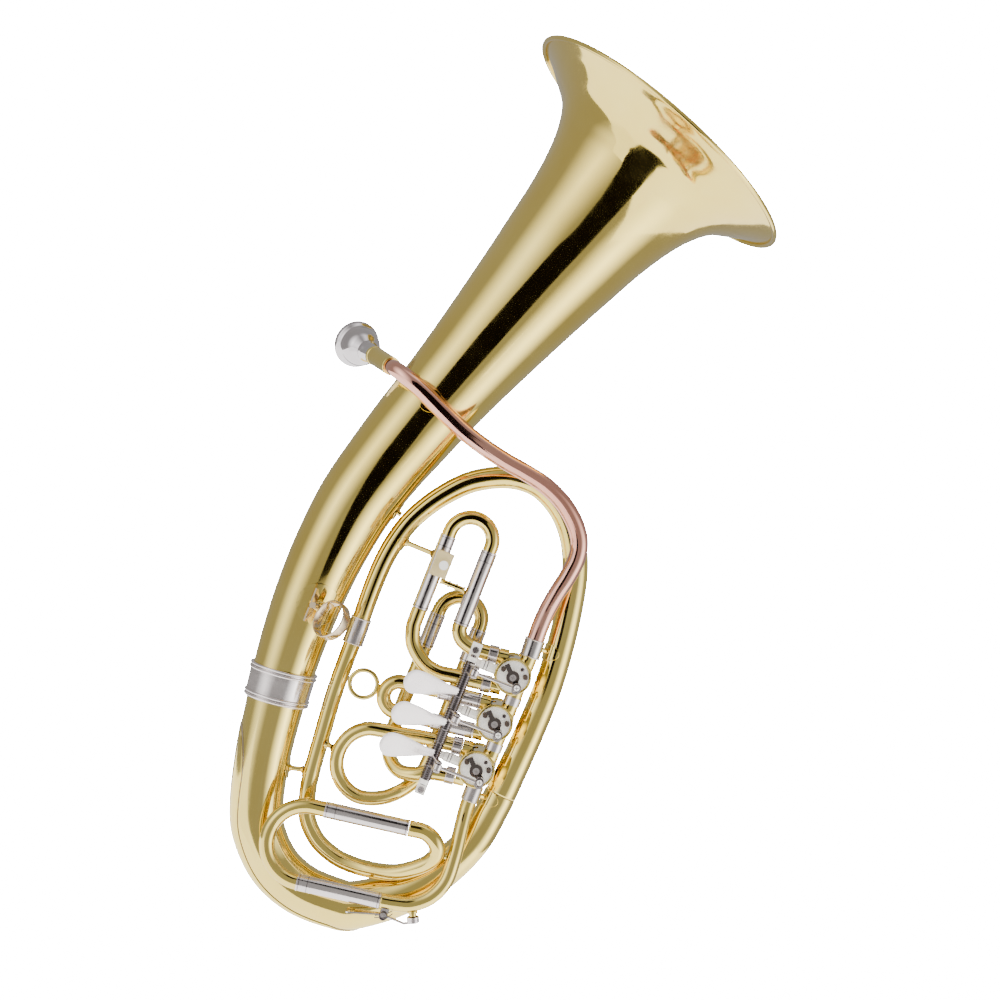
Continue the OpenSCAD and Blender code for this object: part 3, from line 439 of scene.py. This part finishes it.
pipe("slide_3_upper_tube", SLIDE_3A, 7, 0.6, 44, "slide_3_tubes")
pipe("slide_3_lower_tube", SLIDE_3B, 7, 0.6, 44, "slide_3_tubes")


# ---- Bow guard: a thin soldered plate with soft edges, and a darker strip round it, painted shade along its edge ----
def plate(name, points, wide, narrow, gap, thick, across=24):
    """A round-ended strip over the outside of a route, from wide to narrow degrees to each side."""
    round_end = 0.16  # share of the length in which each end closes
    least = 0.04  # share of its width that is left at the very end
    thin_edge = 0.5  # thickness at the edges, as a share of the whole
    side = Vector((0, 1, 0))
    spread = [2 * k / across - 1 for k in range(across + 1)]
    verts = []
    for i, (p, t, _, _, r) in enumerate(frames(points)):
        done = i / (len(points) - 1)
        tip = min(1.0, min(done, 1 - done) / round_end)
        half = (wide + (narrow - wide) * done) * max(least, math.sqrt(1 - (1 - tip) ** 2))
        u = side.cross(t).normalized()
        section = [(half * f, gap + thick * (1 if abs(f) < 0.96 else thin_edge)) for f in spread]
        section += [(half * f, gap) for f in reversed(spread)]
        for a, lift in section:
            out = u * math.cos(math.radians(a)) + side * math.sin(math.radians(a))
            verts.append(p + (r + lift / 1000) * out)
    return finish_mesh(name, verts, capped(len(points), 2 * len(spread)), 50)


bow = smooth(BOW, 9)
place(plate("bow_guard_plate", bow[14:73], 60, 34, 0.2, 0.7), "horn", BRASS, "lacquered_brass", "bow_guard")
# A slightly wider, thin plate in darker aged brass shows just past the guard's edge: painted shade that
# outlines the guard
place(plate("bow_guard_edge_shade", bow[13:74], 61.5, 35.5, 0.08, 0.16), "horn", AGED, "lacquered_brass")

# ---- Levers: crowned paddle, ribbed barrel, forked arm with its pin ------------
HINGE = (113.5, -25.5, 0)
PADDLE_L = 50
PADDLE_R = 9.3  # half width at the paddle's round end
NECK_R = 2.8  # half width at its neck
SWING = 27.0
PIN_REACH = 7 * math.cos(math.radians(45)) / math.sin(math.radians(SWING / 2))
PIN_L = 9.8


def turn(angle, axis):
    return Matrix.Rotation(math.radians(angle), 4, axis)


def half_width(x):
    """Half the paddle's width at x millimetres from the hinge."""
    bulb = PADDLE_L - PADDLE_R
    if x > bulb:
        return math.sqrt(max(0.0, PADDLE_R**2 - (x - bulb) ** 2))
    f = x / bulb
    return NECK_R + (PADDLE_R - NECK_R) * (3 * f * f - 2 * f**3)


def paddle(name, z):
    """A teardrop plate with a crowned face and rounded edges, in the lever's own axes."""
    bulb = PADDLE_L - PADDLE_R
    m = Matrix.Translation(HINGE) @ Matrix.Translation((0, -1.5, z))
    m = m @ turn(30, "Z") @ turn(-90, "X") @ turn(-4, "Z")
    stations = [bulb * k / 26 for k in range(26)]
    stations += [bulb + PADDLE_R * math.sin(math.radians(a)) for a in range(0, 91, 6)]
    edge = [(-0.94, -1.05), (-1.0, -0.75), (-0.94, -0.3)]  # share of the half width, depth
    across = [k / 8 for k in range(-7, 8)]
    verts = []
    for x in stations:
        half = max(half_width(x), 0.02)
        crown = 0.55 * min(1, half / 6)
        ring = [(half * f, depth) for f, depth in edge]
        ring += [(half * f * 0.9, 0.0) for f in across]
        ring += [(-half * f, depth) for f, depth in reversed(edge)]
        ring += [(half * f * 0.9, -1.35 - crown * (1 - f * f)) for f in reversed(across)]
        verts += [at(m @ Vector((-x, y, depth))) for y, depth in ring]
    return finish_mesh(name, verts, capped(len(stations), 2 * (len(edge) + len(across))), 60)


def bar(name, m, low, high, soft=0.3):
    """A box with rounded edges, its corners given in millimetres in the matrix m."""
    corners = [(x, y, z) for x in (low[0], high[0]) for y in (low[1], high[1]) for z in (low[2], high[2])]
    faces = [(0, 1, 3, 2), (4, 6, 7, 5), (0, 4, 5, 1), (2, 3, 7, 6), (0, 2, 6, 4), (1, 5, 7, 3)]
    obj = finish_mesh(name, [at(m @ Vector(c)) for c in corners], faces)
    bevel = obj.modifiers.new("bevel", "BEVEL")
    bevel.width = soft / 1000
    bevel.segments = 3
    return obj


def barrel(low, top):
    """The profile of a lever's sleeve on the hinge rod, with a rib every 1.9 mm."""
    ribs = [(2.05, low + 0.01), (3.9, low)]
    z = low + 0.6
    while z < top - 1.6:
        ribs += [(4.2, z), (4.2, z + 0.9), (3.7, z + 1.1), (3.7, z + 1.7)]
        z += 1.9
    return [*ribs, (3.9, top), (2.05, top - 0.01)]


PIN = [
    (0.01, 0), (1.8, 0), (2.0, 0.3), (2.0, 0.9), (1.5, 1.0), (1.5, 8.8), (2.0, 8.9), (2.0, 9.5),
    (1.8, PIN_L), (0.01, PIN_L),
]
for i, z, top, low in ((1, -13.5, 11, -18), (2, -39, -28, -45.5), (3, -64.5, -55.5, -76)):
    body = f"lever_{i}"
    place(paddle(f"{body}_paddle", z), body, PALE, "paddle_nickel", body)
    place(turned(f"{body}_barrel", barrel(low, top), HINGE, (0, 0, 1), 48), body, DARK, "nickel_silver", body)
    link_z = valve(i).z - 5.95
    m = Matrix.Translation(HINGE) @ turn(SWING / 2, "Z")
    for k, side in enumerate((-1, 1)):
        z = link_z + side * 3.4
        arm = bar(f"{body}_arm_{k}", m, (-2.4, -PIN_REACH - 2.2, z - 0.8), (2.4, -3.2, z + 0.8), 0.5)
        place(arm, body, NICKEL, "nickel_silver", body)
    foot = m @ Vector((0, -PIN_REACH, link_z - PIN_L / 2))
    place(turned(f"{body}_pin", PIN, foot, (0, 0, 1), 32, closed=False), body, DARK, "nickel_silver", body)

# ---- Small fittings ---------------------------------------------------------
LEVER_SIDE = (0, -1, 0)


def head(name, spot, direction, radius, body, finish, cross=True, dome=0.5):
    """A round screw head, plain or with two dark bars painted as the shade of a cross recess."""
    neck = 0.5
    profile = [(0.01, 0.0), (radius, 0.0), (radius, neck)]
    profile += arc((0, neck), radius, dome, 15, 90, 15)
    profile += [(0.01, neck + dome)]
    place(turned(name, profile, spot, direction, 32, closed=False), body, finish, "nickel_silver")
    if cross:
        d = Vector(direction).normalized()
        facing = d.to_track_quat("Z", "Y").to_matrix().to_4x4()
        base = Matrix.Translation(Vector(spot) + d * (neck + dome * 0.72)) @ facing
        reach = radius * 0.62
        # Two dark bars on the dome: painted shade of a cross recess, not a cut recess
        for k, angle in enumerate((20, 110)):
            low, high = (-reach, -0.22, 0), (reach, 0.22, dome * 0.42)
            recess_shade_bar = bar(f"{name}_cross{k}", base @ turn(angle, "Z"), low, high, 0.05)
            place(recess_shade_bar, body, STEEL, "dark_steel")


BEARING_RIM = [(12.55, 0), (12.55, 0.5), *reversed(arc((13.5, 0.45), 0.95, 0.75, 0, 166, 15)), (14.45, 0)]
SCREW_RIM = arc((2.5, 0.5), 0.45, 0.45, 0, 360, 30)
for i in (1, 2, 3):
    c = valve(i)
    rim = turned(f"valve_{i}_front_ring", BEARING_RIM, c - Vector((0, 17, 0)), LEVER_SIDE, 72)
    place(rim, "horn", BRASS, "lacquered_brass")
    head(f"valve_{i}_plate_screw", c + Vector((5.0, -15.5, 7.6)), LEVER_SIDE, 1.5, "horn", DARK)
    pin = c + Vector((4.95, -38, -4.95))
    head(f"valve_{i}_link_screw", pin, LEVER_SIDE, 2.5, f"rotor_{i}", SATIN)
    rim = turned(f"valve_{i}_screw_rim", SCREW_RIM, pin, LEVER_SIDE, 40)
    place(rim, f"rotor_{i}", DARK, "nickel_silver")
head("lyre_screw_head", (66.5, -31.1, 73), LEVER_SIDE, 3.6, "lyre_screw", SATIN, cross=False, dome=1.1)

RECEIVER = Vector((-26.2, -37.6, 200.6))
RECEIVER_WAY = Vector((-0.52, 0.84, 0.13)).normalized()
MOUTHPIECE = [
    (2.4, 0), (6, 0), (6, 24.4), (5.3, 25), (5.0, 26), (5.0, 28), (5.4, 31), (6.4, 34), (7.4, 36.6),
    (8.6, 37.4), (8.6, 38.6), (7.9, 39.3), (9.2, 41), (11.6, 43.3), (13.8, 46.2), (15.1, 50),
    (15.6, 54), (15.7, 57), (16.2, 58.2), (17.6, 59.2), (18.5, 60.4), (18.9, 62), (18.9, 63.6),
    (18.3, 65.1), (17.2, 65.9), (15.9, 66), (14.4, 65.5), (13.4, 64.3), (12.9, 62), (12.4, 58),
    (11.4, 53.5), (9.6, 49.5), (7.3, 46.2), (4.8, 43.8), (3.2, 42), (2.4, 40),
]
cup = turned("mouthpiece_silver", MOUTHPIECE, RECEIVER + 12 * RECEIVER_WAY, RECEIVER_WAY, 96)
place(cup, "mouthpiece", SILVER, "silver_plate", "mouthpiece")


# ---- Rings on the slide sleeves, and bands on the lever posts -------------------
SLEEVE_R = 6.4
IN_WALL = SLEEVE_R - 0.1
END_RING = [
    (IN_WALL, 0), (SLEEVE_R + 0.18, 0.15), (SLEEVE_R + 0.22, 0.5), (SLEEVE_R + 0.18, 1.1), (IN_WALL, 1.3),
]
# Thin dark bands a hair proud of the sleeve: painted shade standing in for fine grooves
GROOVE_SHADE = [(IN_WALL, 0), (SLEEVE_R + 0.06, 0), (SLEEVE_R + 0.06, 0.45), (IN_WALL, 0.45)]
POST_BAND = [(3.7, 0), (4.06, 0.05), (4.06, 0.65), (3.7, 0.7)]


def sleeve_bands(name, mouth, direction, length):
    """Raised end rings, and fine dark bands painted where grooves would hold shade, around one outer sleeve.
    """
    d = Vector(direction).normalized()
    for k, t in enumerate((0.1, length - 1.5)):
        ring = turned(f"{name}_ring_{k}", END_RING, Vector(mouth) + t * d, d, 56)
        place(ring, "horn", NICKEL, "nickel_silver")
    # The dark bands below are painted groove shade, not cut grooves
    for k, t in enumerate((1.6, 8.3, length - 2.0)):
        groove_shade = turned(f"{name}_groove_{k}", GROOVE_SHADE, Vector(mouth) + t * d, d, 56)
        place(groove_shade, "horn", DARK, "nickel_silver")


for k, x in enumerate((61, 95.5)):
    sleeve_bands(f"slide_1_sleeve_{k}", (x, VALVE_Y, 95), (0, 0, -1), 61)
for k, side in enumerate((-1, 1)):
    sleeve_bands(f"slide_2_sleeve_{k}", port(2, side, 48), -PORT, 33.8)
for k, x in enumerate((75.5, 110.5)):
    sleeve_bands(f"slide_3_sleeve_{k}", (x, 9, 34), (0, 0, -1), 28)
sleeve_bands("main_sleeve_upper", MOUTH, -MAIN, 66)
sleeve_bands("main_sleeve_lower", LOW, -MAIN, 66)
for i in (1, 2, 3):
    for k, x in enumerate((123.6, 126.0)):
        band = turned(f"post_{i}_band_{k}", POST_BAND, (x, -19.6, valve(i).z - 0.6), (1, 0, 0), 40)
        place(band, "horn", DARK, "nickel_silver")


# ---- Oval saddle flanges where a stay meets a tube ----------------------------
def saddle(name, axis_point, axis, radius, towards, length, sweep):
    """A thin oval patch wrapped around a tube, length mm along it and sweep degrees to each side."""
    t = Vector(axis).normalized()
    d = Vector(towards)
    d = (d - d.dot(t) * t).normalized()
    e = t.cross(d)
    width, rings, thick = 40, 7, 0.5
    # Each ring is a share of the oval and its height over the tube
    levels = [(k / rings, thick) for k in range(1, rings)] + [(1.0, 0.42), (1.02, 0.05)]
    centre = Vector(axis_point)
    verts = [at(centre + (radius + thick) * d)]
    for f, lift in levels:
        for a in circle(width):
            th = math.radians(sweep) * f * math.sin(a)
            out = math.cos(th) * d + math.sin(th) * e
            verts.append(at(centre + t * length * f * math.cos(a) + (radius + lift) * out))
    faces = [(0, 1 + k, 1 + (k + 1) % width) for k in range(width)]
    faces += [tuple(1 + v for v in face) for face in walls(len(levels), width)]
    place(finish_mesh(name, verts, faces, 40), "horn", BRASS, "lacquered_brass")


saddle("saddle_branch_upper", (175.4, 0, 39), (-0.07, 0, 1), 11.15, (-1, -0.57, 0), 7.0, 62)
saddle("saddle_branch_lower", (173.4, 0, -86), (0.09, 0, 1), 12.7, (-1, -0.57, 0), 7.0, 60)
saddle("saddle_inner_upper", (23.7, 0, 77.5), (0.22, 0, 1), 8.05, (1, -0.32, 0), 6.0, 60)
saddle("saddle_stem_middle", (-13.6, 0, 105), (0.25, 0, 1), 31.6, (1, 0, -0.26), 8.0, 17)
saddle("saddle_stem_upper", (10.5, 0, 187.3), (0.3, 0, 1), 36.1, (0, -1, 0), 9.0, 14)
saddle("saddle_bow_left", (-10, 0, -127), (0.24, 0, -1), 21.4, (1, 0, 0.24), 8.0, 24)
saddle("saddle_inner_lower", (28.6, 0, -117.6), (-0.1, 0, 1), 6.8, (-1, 0, -0.24), 6.0, 60)

# ---- Thumb ring, and the water key's spring and cup --------------------------------
RING_HALF = [(14.0, 4.0), (14.15, 4.35), (14.5, 4.5), (14.9, 4.4), (15.2, 4.0), (15.38, 2.4)]
ring = [*RING_HALF, (15.4, 0), *[(r, -h) for r, h in reversed(RING_HALF)]]
band = turned("thumb_ring_band", ring, ORIGIN, (-0.68, -0.71, 0.21), 96)
place(band, "horn", AGED, "lacquered_brass", "thumb_ring")

WIRE_R = 0.4
COIL_R = 2.9
for k, side in enumerate((-1, 1)):
    coil = []
    for step in range(0, 57, 2):
        x, z = COIL_R * math.cos(step / 3), COIL_R * math.sin(step / 3)
        coil.append((121.8 + x, -28.6 + side * (5.2 + 0.035 * step), -194.6 + z, WIRE_R))
    wire = [(116, -28.6 + side * 3, -198.8, WIRE_R), *coil, (128, -28.6 + side * 5.0, -190.5, WIRE_R)]
    place(tube(f"water_key_spring_{k}", smooth(wire, 2), 0.36, 10), "horn", DARK, "dark_steel")

NIPPLE = Vector((139.5, -28.6, -179.3))
NIPPLE_WAY = Vector((0.42, 0, -0.907)).normalized()
CUP = [
    (4.3, 0), (4.9, 0.3), (4.9, 1.9), (4.7, 2.0), (4.7, 2.5), (4.9, 2.6), (4.9, 4.4), (4.3, 5.1),
    (0.01, 5.3), (0.01, 4.5), (4.2, 4.4),
]
cup = turned("water_key_cup", CUP, NIPPLE + 9.4 * NIPPLE_WAY, NIPPLE_WAY, 48)
place(cup, "water_key", NICKEL, "nickel_silver")

# ---- Camera, light and surroundings -------------------------------------------
SENSOR = 36
CAMERA_AWAY = 1.25  # metres from the lens to the horn's mid-plane
VIEW_WIDTH = 0.79  # metres of the mid-plane in view
TARGET = Vector((0.09, 0.0, 0.13))

camera = bpy.data.objects.new("camera", bpy.data.cameras.new("camera"))
bpy.context.scene.collection.objects.link(camera)
camera.data.sensor_width = SENSOR
camera.data.lens = SENSOR * CAMERA_AWAY / VIEW_WIDTH
camera.data.clip_end = 50
roll = turn(-21.5, "Y")
camera.matrix_world = Matrix.Translation((0.0858, 0.045 - CAMERA_AWAY, 0.1323)) @ roll @ turn(90, "X")
bpy.context.scene.camera = camera


def matt(name, colour):
    """A material with no gloss at all, for a stage piece, and its shader."""
    mat = bpy.data.materials.new(name)
    mat.use_nodes = True
    shader = mat.node_tree.nodes["Principled BSDF"]
    shader.inputs["Base Color"].default_value = (*colour, 1)
    shader.inputs["Roughness"].default_value = 1.0
    shader.inputs["Specular IOR Level"].default_value = 0.0
    return mat, shader


def panel(name, azimuth, elevation, distance, width, height, glow):
    """A flat glowing studio panel that faces the horn and fades out to its edges."""
    x, y = width / 2, height / 2
    obj = finish_mesh(name, [(-x, -y, 0), (x, -y, 0), (x, y, 0), (-x, y, 0)], [(0, 1, 2, 3)])
    az, el = math.radians(azimuth), math.radians(elevation)
    away = Vector((math.sin(az) * math.cos(el), -math.cos(az) * math.cos(el), math.sin(el)))
    facing = away.to_track_quat("Z", "Y").to_matrix().to_4x4()
    obj.matrix_world = Matrix.Translation(TARGET + distance * away) @ facing

    mat, shader = matt(name, (0.003, 0.003, 0.003))
    shader.inputs["Emission Color"].default_value = (1, 1, 1, 1)
    tree = mat.node_tree
    coords = tree.nodes.new("ShaderNodeTexCoord")
    spread = tree.nodes.new("ShaderNodeMapping")
    spread.inputs["Scale"].default_value = (1 / x, 1 / y, 1)
    ball = tree.nodes.new("ShaderNodeTexGradient")
    ball.gradient_type = "SPHERICAL"
    fade = tree.nodes.new("ShaderNodeMapRange")
    fade.inputs["From Max"].default_value = 0.95
    core = tree.nodes.new("ShaderNodeMapRange")
    core.inputs["From Min"].default_value = 0.15
    core.inputs["To Min"].default_value = 0.72 * glow
    core.inputs["To Max"].default_value = 1.4 * glow
    clear = tree.nodes.new("ShaderNodeBsdfTransparent")
    mix = tree.nodes.new("ShaderNodeMixShader")
    for source, target in (
        (coords.outputs["Object"], spread.inputs["Vector"]),
        (spread.outputs[0], ball.inputs["Vector"]),
        (ball.outputs["Fac"], core.inputs["Value"]),
        (core.outputs[0], shader.inputs["Emission Strength"]),
        (ball.outputs["Fac"], fade.inputs["Value"]),
        (fade.outputs[0], mix.inputs[0]),
        (clear.outputs[0], mix.inputs[1]),
        (shader.outputs[0], mix.inputs[2]),
        (mix.outputs[0], tree.nodes["Material Output"].inputs[0]),
    ):
        tree.links.new(source, target)
    obj.data.materials.append(mat)
    obj.visible_camera = False
    obj.visible_shadow = False


# A black card close in front of the bell tube, for the dark streak along its middle
CARD = [
    (0.03, -0.20, -0.02), (0.13, -0.20, -0.02), (-0.08, -0.21, 0.12), (0.10, -0.21, 0.12),
    (-0.07, -0.22, 0.24), (0.14, -0.22, 0.24), (0.0, -0.235, 0.32), (0.19, -0.235, 0.32),
    (0.12, -0.24, 0.37),
]
card = finish_mesh("black_card", CARD, [(0, 1, 3, 2), (2, 3, 5, 4), (4, 5, 7, 6), (6, 7, 8)])
card.visible_camera = False
card.visible_shadow = False
card.visible_diffuse = False
card.data.materials.append(matt("black_card", (0.004, 0.003, 0.003))[0])

panel("left_panel", -50, 2, 3.4, 4.8, 9.0, 1.95)
panel("right_panel", 66, -10, 3.4, 4.8, 9.0, 3.3)
panel("top_panel", 10, 72, 3.4, 4.4, 3.0, 1.2)

# What the camera sees past the horn, bright enough to be plain white
WORLD_WHITE = 48.0
FLOOR_WHITE = 60.0

world = bpy.data.worlds.new("studio")
bpy.context.scene.world = world
world.use_nodes = True
nt = world.node_tree
nt.nodes.clear()


def background(strength, colour=(1, 1, 1)):
    shader = nt.nodes.new("ShaderNodeBackground")
    shader.inputs["Strength"].default_value = strength
    shader.inputs["Color"].default_value = (*colour, 1)
    return shader


# White to the camera, a dim warm tent in reflections, and an even fill on matt surfaces
seen = background(WORLD_WHITE)
tent = background(0.42, (1.0, 0.985, 0.96))
fill = background(2.0)
rays = nt.nodes.new("ShaderNodeLightPath")
even = nt.nodes.new("ShaderNodeMixShader")
mix = nt.nodes.new("ShaderNodeMixShader")
sky = nt.nodes.new("ShaderNodeOutputWorld")
nt.links.new(rays.outputs["Is Diffuse Ray"], even.inputs[0])
nt.links.new(tent.outputs[0], even.inputs[1])
nt.links.new(fill.outputs[0], even.inputs[2])
nt.links.new(rays.outputs["Is Camera Ray"], mix.inputs[0])
nt.links.new(even.outputs[0], mix.inputs[1])
nt.links.new(seen.outputs[0], mix.inputs[2])
nt.links.new(mix.outputs[0], sky.inputs[0])

FLOOR_HALF = 6
FLOOR_Z = -3.0
corners = [(x * FLOOR_HALF, y * FLOOR_HALF, FLOOR_Z) for x, y in ((-1, -1), (1, -1), (1, 1), (-1, 1))]
floor = finish_mesh("floor", corners, [(0, 1, 2, 3)])
pale = bpy.data.materials.new("pale_floor")
pale.use_nodes = True
nt = pale.node_tree
shader = nt.nodes["Principled BSDF"]
shader.inputs["Base Color"].default_value = (0.92, 0.92, 0.92, 1)
shader.inputs["Roughness"].default_value = 0.8
shader.inputs["Emission Color"].default_value = (1, 0.98, 0.95, 1)
shader.inputs["Emission Strength"].default_value = 0.75
white = nt.nodes.new("ShaderNodeEmission")
white.inputs["Strength"].default_value = FLOOR_WHITE
rays = nt.nodes.new("ShaderNodeLightPath")
mix = nt.nodes.new("ShaderNodeMixShader")
nt.links.new(rays.outputs["Is Camera Ray"], mix.inputs[0])
nt.links.new(shader.outputs[0], mix.inputs[1])
nt.links.new(white.outputs[0], mix.inputs[2])
nt.links.new(mix.outputs[0], nt.nodes["Material Output"].inputs[0])
floor.data.materials.append(pale)
